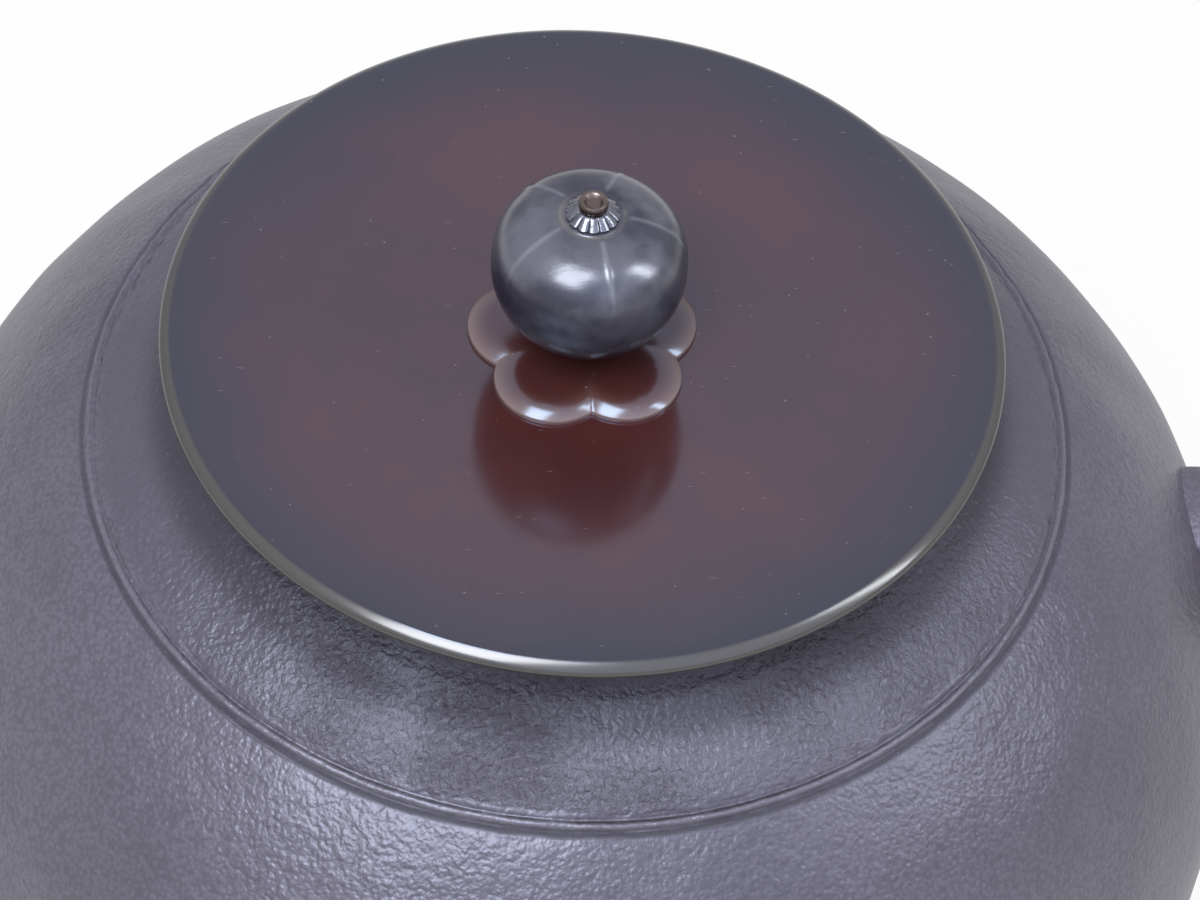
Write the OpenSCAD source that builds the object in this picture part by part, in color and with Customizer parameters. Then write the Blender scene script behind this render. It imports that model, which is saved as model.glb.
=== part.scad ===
// A round cast-iron tea kettle with a scooped bronze lid and a fruit-shaped knob.
// Millimetres, +Z up, origin at the middle of the base. The two lugs lie on the X axis.

/* [Kettle body] */
// Largest radius of the kettle, at its belly
body_r = 116.5; // [105:0.1:135]
// Height of the belly line above the base
belly_h = 62; // [52:0.5:80]
// Height of the shoulder's full oval above the belly line
shoulder_rise = 89.89; // [75:0.01:105]
// Fullness of the shoulder, where 2 is an ellipse and more is fuller
shoulder_full = 2.18; // [2:0.01:3]
// Radius of the flat base
base_r = 50; // [45:0.5:65]
// Thickness of the cast wall
wall_t = 3.6; // [3:0.1:6]
// Thickness of the floor
floor_t = 4.2; // [3:0.1:8]

/* [Shoulder thread and flange stub] */
// Radius of the circle that the raised thread follows on the shoulder
thread_r = 77.5; // [70:0.1:90]
// Width of the raised thread
thread_w = 2.2; // [1.2:0.1:4]
// Height of the raised thread above the shoulder
thread_h = 0.8; // [0.3:0.1:1.5]
// How far the stub of the broken-off flange lies below the belly line
stub_drop = 14; // [8:0.5:25]
// Height of the flange stub
stub_h = 4; // [2:0.5:8]
// How far the flange stub stands out of the belly
stub_out = 1.2; // [0.5:0.1:3]

/* [Mouth] */
// Inner radius of the mouth
mouth_r = 54.5; // [48:0.1:60]
// Width of the lip that the lid rests on
lip_w = 5.5; // [4:0.1:8]
// Height of the lip above the shoulder beside it
lip_h = 9.6; // [8:0.1:14]
// How far the neck is hollowed in behind the lip's edge
neck_in = 2; // [1:0.1:3]
// Radius of the hollow that runs round the neck
neck_hollow_r = 4; // [3:0.1:4.5]

/* [Lugs] */
// Radius of a lug's hill-shaped outline where it meets the body
lug_r = 20; // [16:0.5:26]
// Width of a lug between its flat cheeks
lug_w = 18; // [14:0.5:26]
// Height of the middle of that outline above the belly line
lug_up = 26; // [18:0.5:32]
// How far a lug reaches below the middle of its outline
lug_foot = 9; // [8:0.5:14]
// Fullness of a lug's dome, where 2 is an ellipse and more is squarer
lug_full = 2.6; // [2:0.1:4]
// Radius of the hole for a carrying ring
ring_hole_r = 5.5; // [4:0.1:7]
// Height of that hole above the middle of the outline
ring_hole_up = 2; // [0:0.5:5]
// Iron outside the hole
ring_hole_wall = 3.5; // [2.5:0.1:6]
// Iron between the belly radius and the hole
ring_hole_gap = 0.8; // [0.5:0.1:4]
// Radius of the tang that the body was cast round
tang_r = 5; // [3:0.5:6]
// Depth of the tang in the wall
tang_depth = 1.8; // [1:0.1:2.4]

/* [Singing plates] */
// Number of iron plates on the floor inside
plate_count = 5; // [3:1:5]
// Length of a singing plate, along the kettle's radius
plate_l = 20; // [12:0.5:24]
// Width of a singing plate
plate_w = 13; // [8:0.5:16]
// Thickness of a singing plate
plate_t = 2; // [1:0.1:4]
// Room between the plates' outer ends and the edge of the flat floor
plate_inset = 8; // [4:0.5:10]
// Thickness of the lacquer bed under a plate
bed_t = 1.2; // [0.6:0.1:2.5]
// How far a bed lies inside its plate's edges
bed_margin = 2.5; // [1:0.1:3.5]

/* [Lid] */
// How far the lid reaches past the lip
lid_overhang = 5; // [3:0.1:8]
// Thickness of the lid's rounded rim
rim_t = 3.4; // [2.6:0.1:5]
// Depth of the scooped top below the rim
dish_depth = 5.5; // [2:0.1:7]
// Width of the rim outside the scoop
rim_w = 3; // [2:0.1:6]
// Thickness of the lid under the middle of the scoop
lid_t = 2.6; // [1.8:0.1:4]
// Depth of the locating flange below the lip's top
flange_h = 6; // [4:0.1:10]
// Thickness of the locating flange
flange_t = 2.2; // [1.5:0.1:4]
// Play between the locating flange and the mouth
flange_play = 0.9; // [0.4:0.1:2]

/* [Blossom seat] */
// Number of petals round the seat
petal_count = 5; // [4:1:6]
// Distance from the middle of the seat to a petal's tip
petal_reach = 18.2; // [16:0.1:22]
// Radius of one petal
petal_r = 8.9; // [8:0.1:10]
// Height of the seat above the middle of the scoop
seat_t = 2.6; // [1.8:0.1:4]
// Fall of a petal from its crown to its edge
petal_fall = 1; // [0.4:0.1:1.1]
// Turn of the first petal from +X
petal_turn = 20.5; // [0:0.1:72]

/* [Knob] */
// Radius of the knob at its widest
knob_r = 14.8; // [12:0.1:18]
// Height of the knob's full upper half
knob_up = 11.1; // [9:0.1:15]
// Height of the knob's lower half before its foot is cut flat
knob_down = 13.9; // [11:0.1:16]
// Fullness of the upper half, where 2 is an ellipse and more is flatter on top
knob_full = 2.7; // [2:0.1:3.5]
// Radius of the flat foot under the knob
knob_foot_r = 4.2; // [3.8:0.1:6]
// Thickness of the hollow knob's wall
knob_wall = 1.8; // [1.2:0.1:3]

/* [Crown] */
// Radius of the fluted crown at its base
crown_r = 4.1; // [3.6:0.1:5.5]
// Radius of the crown at its top
crown_top_r = 2.7; // [2.5:0.1:3.2]
// Height of the crown
crown_h = 1.6; // [1:0.1:2.4]
// Flat left round the crown on top of the knob
crown_rim = 0.4; // [0.2:0.1:1]
// Number of flutes round the crown
flute_count = 14; // [8:1:16]
// Radius of the round bottom of a flute
flute_r = 0.4; // [0.35:0.05:0.8]
// Depth of a flute
flute_depth = 0.35; // [0.2:0.05:0.5]

/* [Rivet and washer] */
// Radius of the rivet's shank
rivet_r = 1.7; // [1.3:0.05:2]
// Radius of the rivet's collar between seat and knob
collar_r = 3.4; // [2.8:0.1:3.7]
// Height of that collar
collar_h = 2.2; // [1.4:0.1:4]
// Radius of the peened top end
head_r = 2.25; // [2.2:0.05:2.5]
// Height of the peened top end
head_h = 1.3; // [0.8:0.1:2]
// Radius of the hollow in the top end
hollow_r = 1.3; // [0.8:0.1:1.6]
// Depth of the hollow in the top end
hollow_depth = 0.7; // [0.3:0.1:1]
// Radius of the peened lower end
tail_r = 3.2; // [2.6:0.1:4]
// Height of the peened lower end
tail_h = 1.2; // [0.8:0.1:2]
// Radius of the washer under the lid
washer_r = 6.5; // [4.5:0.1:9]
// Thickness of the washer under the lid
washer_t = 1; // [0.6:0.1:2]

/* [Fits] */
// Radial clearance of every hole round the rivet
rivet_play = 0.05; // [0.02:0.01:0.1]
// End play of the turning knob on the rivet
knob_play = 0.1; // [0.05:0.05:0.3]

/* [Hidden] */
plate_nodes = [for (i = [1:plate_count]) str("singing_plate_", i)];
bed_nodes = [for (i = [1:plate_count]) str("lacquer_bed_", i)];

$fn = 96;
// Sides of the very large circle that the scoop is turned from
dish_fn = 1440;
// Sides of the circle that the petals' fall is turned from
petal_fn = 360;
// Steps along each curved stretch of an outline
curve_steps = 32;
// Overshoot of a cutting shape past the face that it cuts
over = 1;

// A point at angle t on a quarter of a full-bodied oval
function oval(a, b, full, t) = [a * pow(cos(t), 2 / full), b * pow(sin(t), 2 / full)];
// The height of that oval at radius r
function oval_h(a, b, full, r) = b * pow(1 - pow(r / a, full), 1 / full);
// The angles along such a quarter, from its widest point to its top
quarter = [for (i = [0:curve_steps]) 90 * i / curve_steps];

// The kettle's outside
function shoulder_z(r) = belly_h + oval_h(body_r, shoulder_rise, shoulder_full, r);
function shoulder_r(z) = oval_h(shoulder_rise, body_r, shoulder_full, z - belly_h);
// The angle from level of a line that stands square to the shoulder at radius r
function shoulder_tilt(r) = atan2(
    pow((shoulder_z(r) - belly_h) / shoulder_rise, shoulder_full - 1) / shoulder_rise,
    pow(r / body_r, shoulder_full - 1) / body_r
);
under_rise = belly_h / sqrt(1 - pow(base_r / body_r, 2));
function under_r(z) = oval_h(under_rise, body_r, 2, belly_h - z);

// The kettle's inside
inner_r = body_r - wall_t;
inner_rise = shoulder_rise - wall_t;
floor_r = base_r - wall_t;
inner_under_rise = (belly_h - floor_t) / sqrt(1 - pow(floor_r / inner_r, 2));

// The mouth and its neck
lip_r = mouth_r + lip_w;
neck_r = lip_r - neck_in;
hollow_x = neck_r + neck_hollow_r;
lip_z = shoulder_z(hollow_x) + lip_h;
lip_root_z = shoulder_z(lip_r) - wall_t / 2;

// The stub of the flange
stub_z = belly_h - stub_drop;
stub_r = under_r(stub_z) + stub_out;

// The lugs and their holes
lug_z = belly_h + lug_up;
lug_out = ring_hole_gap + 2 * ring_hole_r + ring_hole_wall;
lug_x = body_r + lug_out;
lug_root_x = shoulder_r(lug_z + lug_r) - wall_t;
ring_hole_x = lug_x - ring_hole_wall - ring_hole_r;
ring_hole_z = lug_z + ring_hole_up;
// The tang stands square to the shoulder at the height of the hole
tang_x = shoulder_r(ring_hole_z);
tang_tilt = shoulder_tilt(tang_x);

// The lid
lid_r = lip_r + lid_overhang;
rim_r = rim_t / 2;
rim_top_z = lip_z + rim_t;
dish_z = rim_top_z - dish_depth;
dish_r = lid_r - rim_w;
dish_ball_r = (pow(dish_r, 2) + pow(dish_depth, 2)) / (2 * dish_depth);
flange_r = mouth_r - flange_play;
flange_inner_r = flange_r - flange_t;
lid_under_z = dish_z - lid_t;

// The seat
petal_x = petal_reach - petal_r;
petal_ball_r = (pow(petal_r, 2) + pow(petal_fall, 2)) / (2 * petal_fall);
seat_top_z = dish_z + seat_t;

// The knob, its crown and its rivet
bore_r = rivet_r + rivet_play;
collar_top_z = seat_top_z + collar_h;
knob_foot_z = collar_top_z + knob_play;
knob_z = knob_foot_z + oval_h(knob_r, knob_down, 2, knob_foot_r);
crown_z = knob_z + oval_h(knob_r, knob_up, knob_full, crown_r + crown_rim);
crown_slope = atan2(crown_r - crown_top_r, crown_h);
head_z = crown_z + crown_h + knob_play;
tail_z = lid_under_z - washer_t - tail_h;

// The plain outside of the kettle, from the base to the top of the shoulder's oval
module kettle_outside() {
    upper = [for (t = quarter) oval(body_r, shoulder_rise, shoulder_full, t) + [0, belly_h]];
    under_end = asin(belly_h / under_rise);
    under = [for (i = [0:curve_steps]) oval(body_r, under_rise, 2, under_end * i / curve_steps)];
    lower = [for (i = [curve_steps:-1:1]) [under[i][0], belly_h - under[i][1]]];
    polygon(concat([[0, 0]], lower, upper));
}

// The hollow inside, closed at the top of its own oval
module kettle_inside() {
    upper = [for (t = quarter) oval(inner_r, inner_rise, shoulder_full, t) + [0, belly_h]];
    under_end = asin((belly_h - floor_t) / inner_under_rise);
    under = [for (i = [0:curve_steps]) oval(inner_r, inner_under_rise, 2, under_end * i / curve_steps)];
    lower = [for (i = [curve_steps:-1:1]) [under[i][0], belly_h - under[i][1]]];
    polygon(concat([[0, floor_t]], lower, upper));
}

// The raised thread, most of it sunk in the shoulder
module thread_section() {
    rise = thread_h - thread_w / 2;
    tilt = shoulder_tilt(thread_r);
    translate([thread_r + rise * cos(tilt), shoulder_z(thread_r) + rise * sin(tilt)])
        circle(d = thread_w);
}

// The kettle's half-section. Lip and stub are sunk half a wall deep, so that they join it.
module kettle_section() {
    difference() {
        union() {
            kettle_outside();
            polygon([
                [mouth_r - over, lip_root_z],
                [lip_r, lip_root_z],
                [lip_r, lip_z],
                [mouth_r - over, lip_z]
            ]);
            thread_section();
            translate([stub_r - stub_out - wall_t / 2, stub_z - stub_h / 2])
                square([stub_out + wall_t / 2, stub_h]);
        }
        kettle_inside();
        translate([0, belly_h])
            square([mouth_r, lip_z - belly_h + lip_h]);
        translate([hollow_x, shoulder_z(hollow_x) + neck_hollow_r])
            circle(neck_hollow_r);
    }
}

// A lug's tang, on the side that points to +X
module tang() {
    translate([tang_x, 0, ring_hole_z])
        rotate([0, 90 - tang_tilt, 0])
            translate([0, 0, -tang_depth])
                cylinder(r = tang_r, h = tang_depth + over);
}

module kettle_body() {
    color("#4f4c53")
        difference() {
            rotate_extrude() kettle_section();
            tang();
            mirror([1, 0, 0]) tang();
        }
}

// The lug on +X: a domed hill with flat cheeks and a flat foot, trimmed by the kettle's own outside
module lug_form() {
    dome = [for (t = quarter) oval(lug_r, lug_x - lug_root_x, lug_full, t)];
    difference() {
        intersection() {
            translate([lug_root_x, 0, lug_z])
                rotate([0, 90, 0])
                    rotate_extrude() polygon(concat([[0, 0]], dome));
            translate([lug_root_x - over, -lug_w / 2, lug_z - lug_foot])
                cube([lug_x - lug_root_x + 2 * over, lug_w, lug_r + lug_foot + over]);
        }
        rotate_extrude() kettle_outside();
    }
}

// The hole for a carrying ring, through both cheeks
module ring_hole() {
    translate([ring_hole_x, 0, ring_hole_z])
        rotate([90, 0, 0])
            cylinder(r = ring_hole_r, h = lug_w + 2 * over, center = true);
}

module lug() {
    color("#4a474e")
        difference() {
            union() {
                lug_form();
                tang();
            }
            ring_hole();
        }
}

module right_lug() {
    lug();
}

module left_lug() {
    mirror([1, 0, 0]) lug();
}

// The place of plate i on the floor, with its length along the radius and none of them on +X
module at_plate(i) {
    rotate([0, 0, 360 * (i - 0.5) / plate_count])
        translate([floor_r - plate_inset - plate_l / 2, 0, floor_t])
            children();
}

module lacquer_bed(i) {
    color("#1d1512")
        at_plate(i)
            translate([-plate_l / 2 + bed_margin, -plate_w / 2 + bed_margin, 0])
                cube([plate_l - 2 * bed_margin, plate_w - 2 * bed_margin, bed_t]);
}

module singing_plate(i) {
    color("#3d3a3a")
        at_plate(i)
            translate([-plate_l / 2, -plate_w / 2, bed_t])
                cube([plate_l, plate_w, plate_t]);
}

// The half-section above the lid's scooped top, out to radius r and up to height h over its middle
module above_dish(r, h) {
    intersection() {
        translate([0, dish_z - over]) square([r, h + over]);
        translate([0, dish_z + dish_ball_r]) circle(dish_ball_r, $fn = dish_fn);
    }
}

// The lid's half-section: a scooped plate, the flange that drops into the mouth and a rounded rim
module lid_section() {
    difference() {
        union() {
            intersection() {
                translate([0, lid_under_z - over]) square([flange_r, rim_top_z - lid_under_z + over]);
                translate([0, dish_z + dish_ball_r]) circle(dish_ball_r + lid_t, $fn = dish_fn);
            }
            translate([flange_inner_r, lip_z - flange_h]) square([flange_t, flange_h + rim_r]);
            translate([flange_inner_r, lip_z]) square([lid_r - rim_r - flange_inner_r, rim_t]);
            translate([lid_r - rim_r, lip_z + rim_r]) circle(rim_r);
        }
        above_dish(dish_r, dish_depth + over);
        translate([0, lid_under_z - over]) square([bore_r, rim_top_z - lid_under_z + 2 * over]);
    }
}

module lid_plate() {
    color("#4d3233")
        rotate_extrude() lid_section();
}

// The blossom's outline, seen from above
module petals_outline() {
    circle(petal_x);
    for (i = [0:petal_count - 1])
        rotate(petal_turn + 360 * i / petal_count)
            translate([petal_x, 0]) circle(petal_r);
}

// The seat's half-section: it lies on the scoop, is level inside and falls to the petals' tips
module seat_section() {
    difference() {
        intersection() {
            above_dish(petal_reach + over, seat_t);
            union() {
                translate([0, dish_z - over]) square([petal_x, seat_t + over]);
                translate([petal_x, seat_top_z - petal_ball_r])
                    circle(petal_ball_r, $fn = petal_fn);
            }
        }
        translate([0, dish_z - over]) square([bore_r, seat_t + 2 * over]);
    }
}

module knob_seat() {
    color("#6a433d")
        intersection() {
            rotate_extrude() seat_section();
            translate([0, 0, dish_z - over])
                linear_extrude(seat_t + 2 * over) petals_outline();
        }
}

// Half of the knob's round outline, drawn smaller by the given inset
module knob_outline(inset) {
    upper = [for (t = quarter) oval(knob_r - inset, knob_up - inset, knob_full, t)];
    under = [for (t = quarter) oval(knob_r - inset, knob_down - inset, 2, t)];
    lower = [for (i = [curve_steps:-1:1]) [under[i][0], -under[i][1]]];
    translate([0, knob_z]) polygon(concat(lower, upper));
}

module knob() {
    color("#33373d")
        rotate_extrude()
            difference() {
                intersection() {
                    knob_outline(0);
                    translate([0, knob_foot_z]) square([knob_r + over, crown_z - knob_foot_z]);
                }
                intersection() {
                    knob_outline(knob_wall);
                    translate([0, knob_foot_z + knob_wall])
                        square([knob_r, crown_z - knob_foot_z - 2 * knob_wall]);
                }
                translate([0, knob_foot_z - over])
                    square([bore_r, crown_z - knob_foot_z + 2 * over]);
            }
}

module knob_crown() {
    flute_x = (crown_r + crown_top_r) / 2 + (flute_r - flute_depth) * cos(crown_slope);
    flute_z = crown_h / 2 + (flute_r - flute_depth) * sin(crown_slope);
    flute_l = 2 * crown_r;
    color("#8d8880")
        translate([0, 0, crown_z])
            difference() {
                cylinder(r1 = crown_r, r2 = crown_top_r, h = crown_h);
                for (i = [0:flute_count - 1])
                    rotate([0, 0, 360 * i / flute_count])
                        translate([flute_x, 0, flute_z])
                            rotate([0, -crown_slope, 0])
                                cylinder(r = flute_r, h = flute_l, center = true);
                translate([0, 0, -over]) cylinder(r = bore_r, h = crown_h + 2 * over);
            }
}

module knob_rivet() {
    color("#7d5238")
        difference() {
            union() {
                translate([0, 0, tail_z]) cylinder(r = tail_r, h = tail_h);
                translate([0, 0, tail_z]) cylinder(r = rivet_r, h = head_z + head_h - tail_z);
                translate([0, 0, seat_top_z]) cylinder(r = collar_r, h = collar_h);
                translate([0, 0, head_z]) cylinder(r = head_r, h = head_h);
            }
            translate([0, 0, head_z + head_h - hollow_depth])
                cylinder(r = hollow_r, h = hollow_depth + over);
        }
}

module under_washer() {
    color("#7d5238")
        translate([0, 0, lid_under_z - washer_t])
            difference() {
                cylinder(r = washer_r, h = washer_t);
                translate([0, 0, -over]) cylinder(r = bore_r, h = washer_t + 2 * over);
            }
}

kettle_body();
left_lug();
right_lug();
for (i = [1:plate_count]) singing_plate(i);
for (i = [1:plate_count]) lacquer_bed(i);
lid_plate();
knob_seat();
knob();
knob_crown();
knob_rivet();
under_washer();
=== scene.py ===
import math
from types import SimpleNamespace

import bpy
from mathutils import Matrix, Vector, noise


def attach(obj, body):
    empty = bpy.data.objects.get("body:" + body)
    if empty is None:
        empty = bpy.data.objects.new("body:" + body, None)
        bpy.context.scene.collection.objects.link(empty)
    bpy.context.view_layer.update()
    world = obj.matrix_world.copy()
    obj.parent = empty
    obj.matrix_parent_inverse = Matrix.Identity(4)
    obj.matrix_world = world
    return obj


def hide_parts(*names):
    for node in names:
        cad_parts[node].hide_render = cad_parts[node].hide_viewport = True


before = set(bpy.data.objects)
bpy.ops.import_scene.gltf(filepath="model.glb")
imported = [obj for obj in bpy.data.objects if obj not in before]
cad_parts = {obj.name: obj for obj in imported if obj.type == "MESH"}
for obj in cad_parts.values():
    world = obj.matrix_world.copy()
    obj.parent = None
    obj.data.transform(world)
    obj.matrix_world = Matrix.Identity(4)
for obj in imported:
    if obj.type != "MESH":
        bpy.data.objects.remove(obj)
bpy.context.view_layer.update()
mm = 0.001
weldGap = 0.002 * mm


def read(settings):
    # lets a settings dictionary be read with dots
    return SimpleNamespace(**settings)


# small helpers for modelling

def clearSelection():
    if bpy.context.mode != "OBJECT":
        bpy.ops.object.mode_set(mode="OBJECT")
    bpy.ops.object.select_all(action="DESELECT")


def pick(piece):
    clearSelection()
    piece.select_set(True)
    bpy.context.view_layer.objects.active = piece


def nameNew(name):
    # names the object that was just made
    piece = bpy.context.object
    piece.name = piece.data.name = name
    return piece


def startEdit():
    bpy.ops.object.mode_set(mode="EDIT")
    bpy.ops.mesh.select_all(action="SELECT")


def endEdit():
    bpy.ops.object.mode_set(mode="OBJECT")


def applyModifier(piece, kind, **settings):
    pick(piece)
    modifier = piece.modifiers.new(kind.title(), kind)
    for key, value in settings.items():
        setattr(modifier, key, value)
    bpy.ops.object.modifier_apply(modifier=modifier.name)


def turnSection(name, section, steps, axis=(0, 0, 1), centre=(0, 0, 0)):
    # draws the half-section, of points (r, z) or (x, y, z), by extruding one vertex, then spins it
    clearSelection()
    bpy.ops.mesh.primitive_plane_add(size=mm)
    piece = nameNew(name)
    startEdit()
    bpy.ops.mesh.merge(type="CENTER")
    points = [Vector(p if len(p) == 3 else (p[0], 0, p[1])) * mm for p in section]
    bpy.ops.transform.translate(value=points[0])
    for start, end in zip(points, points[1:]):
        bpy.ops.mesh.extrude_verts_indiv()
        bpy.ops.transform.translate(value=end - start)
    bpy.ops.mesh.select_all(action="SELECT")
    bpy.ops.mesh.spin(steps=steps, angle=math.tau, center=Vector(centre) * mm, axis=axis)
    bpy.ops.mesh.select_all(action="SELECT")
    bpy.ops.mesh.remove_doubles(threshold=weldGap)
    bpy.ops.mesh.normals_make_consistent(inside=False)
    endEdit()
    return piece


def reshape(piece, move):
    # moves every vertex by a rule that takes and gives millimetres
    for vertex in piece.data.vertices:
        vertex.co = Vector(move(vertex.co / mm)) * mm
    piece.data.update()


def markWear(piece, name, rule):
    # gives every vertex a value that a finish reads, from its place and its distance from the axis
    wear = piece.data.attributes.new(name, "FLOAT", "POINT")
    for vertex, mark in zip(piece.data.vertices, wear.data):
        p = vertex.co / mm
        mark.value = rule(p, math.hypot(p.x, p.y))


def finishPiece(piece, body, node, slot, material, angle=40):
    pick(piece)
    bpy.ops.object.shade_smooth_by_angle(angle=math.radians(angle))
    piece.data.materials.clear()
    piece.data.materials.append(material)
    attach(piece, body)
    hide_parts(node)


def arc(centre, radius, start, end, count):
    # points on a circle in the section, angles in degrees
    out = []
    for i in range(count + 1):
        t = math.radians(start + (end - start) * i / count)
        out.append((centre[0] + radius * math.cos(t), centre[1] + radius * math.sin(t)))
    return out


def line(start, end, count):
    return [
        (start[0] + (end[0] - start[0]) * i / count, start[1] + (end[1] - start[1]) * i / count)
        for i in range(count + 1)
    ]


def ovalHeight(a, b, full, r):
    return b * max(0, 1 - (r / a) ** full) ** (1 / full)


def ovalQuarter(a, b, full, count):
    # points on a quarter of the same oval, from the end of a to the end of b
    out = []
    for i in range(count + 1):
        t = math.radians(90 * i / count)
        out.append((a * max(0, math.cos(t)) ** (2 / full), b * max(0, math.sin(t)) ** (2 / full)))
    return out


def smoothStep(low, high, value):
    t = min(1, max(0, (value - low) / (high - low)))
    return t * t * (3 - 2 * t)


def direction(angles):
    # a unit vector from a turn and a rise in degrees
    turn, rise = (math.radians(x) for x in angles)
    return Vector((math.cos(rise) * math.cos(turn), math.cos(rise) * math.sin(turn), math.sin(rise)))


# small helpers for materials

def addNode(tree, kind, values=None, **settings):
    node = tree.nodes.new(kind)
    for key, value in settings.items():
        setattr(node, key, value)
    for key, value in (values or {}).items():
        node.inputs[key].default_value = value
    return node


def plug(socket, value):
    # joins a socket to another node, or sets it to a plain value
    if hasattr(value, "is_linked"):
        socket.id_data.links.new(value, socket)
    else:
        socket.default_value = value


def mathNode(operation, first, second=0, clamp=False):
    tree = (first if hasattr(first, "is_linked") else second).id_data
    node = addNode(tree, "ShaderNodeMath", operation=operation, use_clamp=clamp)
    plug(node.inputs[0], first)
    plug(node.inputs[1], second)
    return node.outputs[0]


def times(first, second):
    return mathNode("MULTIPLY", first, second)


def plus(first, second):
    return mathNode("ADD", first, second)


def minus(first, second):
    return mathNode("SUBTRACT", first, second)


def mapRange(value, low, high, toLow=0, toHigh=1):
    node = addNode(value.id_data, "ShaderNodeMapRange", interpolation_type="SMOOTHSTEP")
    for index, setting in enumerate((value, low, high, toLow, toHigh)):
        plug(node.inputs[index], setting)
    return node.outputs[0]


def mapLength(value, low, high, toLow=0, toHigh=1):
    # the same for a length, with its limits in millimetres
    return mapRange(value, low * mm, high * mm, toLow, toHigh)


def mixColour(share, first, second, blend="MIX"):
    node = addNode(share.id_data, "ShaderNodeMix", data_type="RGBA", blend_type=blend)
    for index, value in ((0, share), (6, first), (7, second)):
        plug(node.inputs[index], value)
    return node.outputs[2]


def mixSurface(share, first, second, output):
    mix = addNode(share.id_data, "ShaderNodeMixShader")
    for index, value in enumerate((share, first, second)):
        plug(mix.inputs[index], value)
    plug(share.id_data.nodes[output].inputs["Surface"], mix.outputs[0])


def noiseNode(place, scale, detail=3, rough=0.5, distort=0):
    values = {"Scale": scale, "Detail": detail, "Roughness": rough, "Distortion": distort}
    node = addNode(place.id_data, "ShaderNodeTexNoise", values)
    plug(node.inputs["Vector"], place)
    return node.outputs[0]


def cloudNode(place, shape, limits):
    # noise of a scale, detail and roughness, spread over the limits
    return mapRange(noiseNode(place, *shape), *limits)


def turnNode(place, turn, scale):
    values = {"Rotation": (0, 0, math.radians(turn)), "Scale": scale}
    node = addNode(place.id_data, "ShaderNodeMapping", values)
    plug(node.inputs["Vector"], place)
    return node.outputs[0]


def wearNode(place, name):
    return addNode(place.id_data, "ShaderNodeAttribute", attribute_name=name).outputs["Fac"]


def bumpNode(height, strength, distance):
    node = addNode(height.id_data, "ShaderNodeBump", {"Strength": strength, "Distance": distance * mm})
    plug(node.inputs["Height"], height)
    return node.outputs[0]


def newGroup(name, inputs, outputs):
    tree = bpy.data.node_groups.new(name, "ShaderNodeTree")
    for label, kind, value in inputs:
        socket = tree.interface.new_socket(label, in_out="INPUT", socket_type=kind)
        if value is not None:
            socket.default_value = value
    for label in outputs:
        tree.interface.new_socket(label, in_out="OUTPUT", socket_type="NodeSocketFloat")
    return tree, tree.nodes.new("NodeGroupInput"), tree.nodes.new("NodeGroupOutput")


def newMaterial(name, look):
    material = bpy.data.materials.new(name)
    material.use_nodes = True
    shader = material.node_tree.nodes["Principled BSDF"]
    sockets = {"metal": "Metallic", "rough": "Roughness", "ior": "IOR", "tint": "Specular Tint"}
    for key in sockets.keys() & look.keys():
        shader.inputs[sockets[key]].default_value = look[key]
    place = addNode(material.node_tree, "ShaderNodeTexCoord").outputs["Object"]
    return material, shader, place


def placeGroup(group, place, **values):
    node = addNode(place.id_data, "ShaderNodeGroup", node_tree=group)
    plug(node.inputs["Place"], place)
    for key, value in values.items():
        node.inputs[key].default_value = value
    return node.outputs


def radiusOf(place):
    # distance from the kettle's axis, and the place along x, y and z
    parts = addNode(place.id_data, "ShaderNodeSeparateXYZ")
    plug(parts.inputs[0], place)
    x, y, z = parts.outputs
    return mathNode("SQRT", plus(times(x, x), times(y, y))), (x, y, z)


def ringMask(radius, middle, wide):
    # 1 on a circle round the kettle's axis, falling to 0 on both sides of it
    away = mathNode("ABSOLUTE", minus(radius, middle * mm))
    return mapLength(away, wide, wide * 0.25)


# shared effects

skinLook = {
    "grit": 1.2, "gritDetail": 1.5, "pebble": 0.6, "pebbleSmooth": 0.6, "gapRange": (0.25, 0.7),
    "lumpNoise": (430, 1), "lumps": 1.6, "broadNoise": (90, 2), "broad": 2,
    "tone": (22, 4, 0.6), "toneRange": (0.3, 0.7),
}
dustLook = {
    # turn, stretch, scale, width and the share of cells left empty
    "Specks": ((0, 1, 1, 0.07, 0.8), (31, 1, 2.1, 0.11, 0.9)),
    "Scratches": ((40, 9, 0.55, 0.09, 0.86), (-28, 8, 0.4, 0.08, 0.88)),
    "core": 0.4,
}


def makeCastSkin():
    # the pebbled skin that sand leaves on iron
    look = read(skinLook)
    tree, start, end = newGroup(
        "castSkin",
        [("Place", "NodeSocketVector", None), ("Grain", "NodeSocketFloat", 700)],
        ["Height", "Tone", "Gaps"],
    )
    place = start.outputs["Place"]
    fine = addNode(tree, "ShaderNodeTexNoise", {"Detail": look.gritDetail})
    cells = {"Randomness": 1, "Smoothness": look.pebbleSmooth}
    pebble = addNode(tree, "ShaderNodeTexVoronoi", cells, feature="SMOOTH_F1")
    for node in (fine, pebble):
        plug(node.inputs["Vector"], place)
        plug(node.inputs["Scale"], start.outputs["Grain"])
    gap = pebble.outputs["Distance"]
    height = minus(times(fine.outputs[0], look.grit), times(gap, look.pebble))
    for shape, share in ((look.lumpNoise, look.lumps), (look.broadNoise, look.broad)):
        height = plus(height, times(noiseNode(place, *shape), share))
    plug(end.inputs["Height"], height)
    plug(end.inputs["Gaps"], mapRange(gap, *look.gapRange))
    plug(end.inputs["Tone"], cloudNode(place, look.tone, look.toneRange))
    return tree


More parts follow.
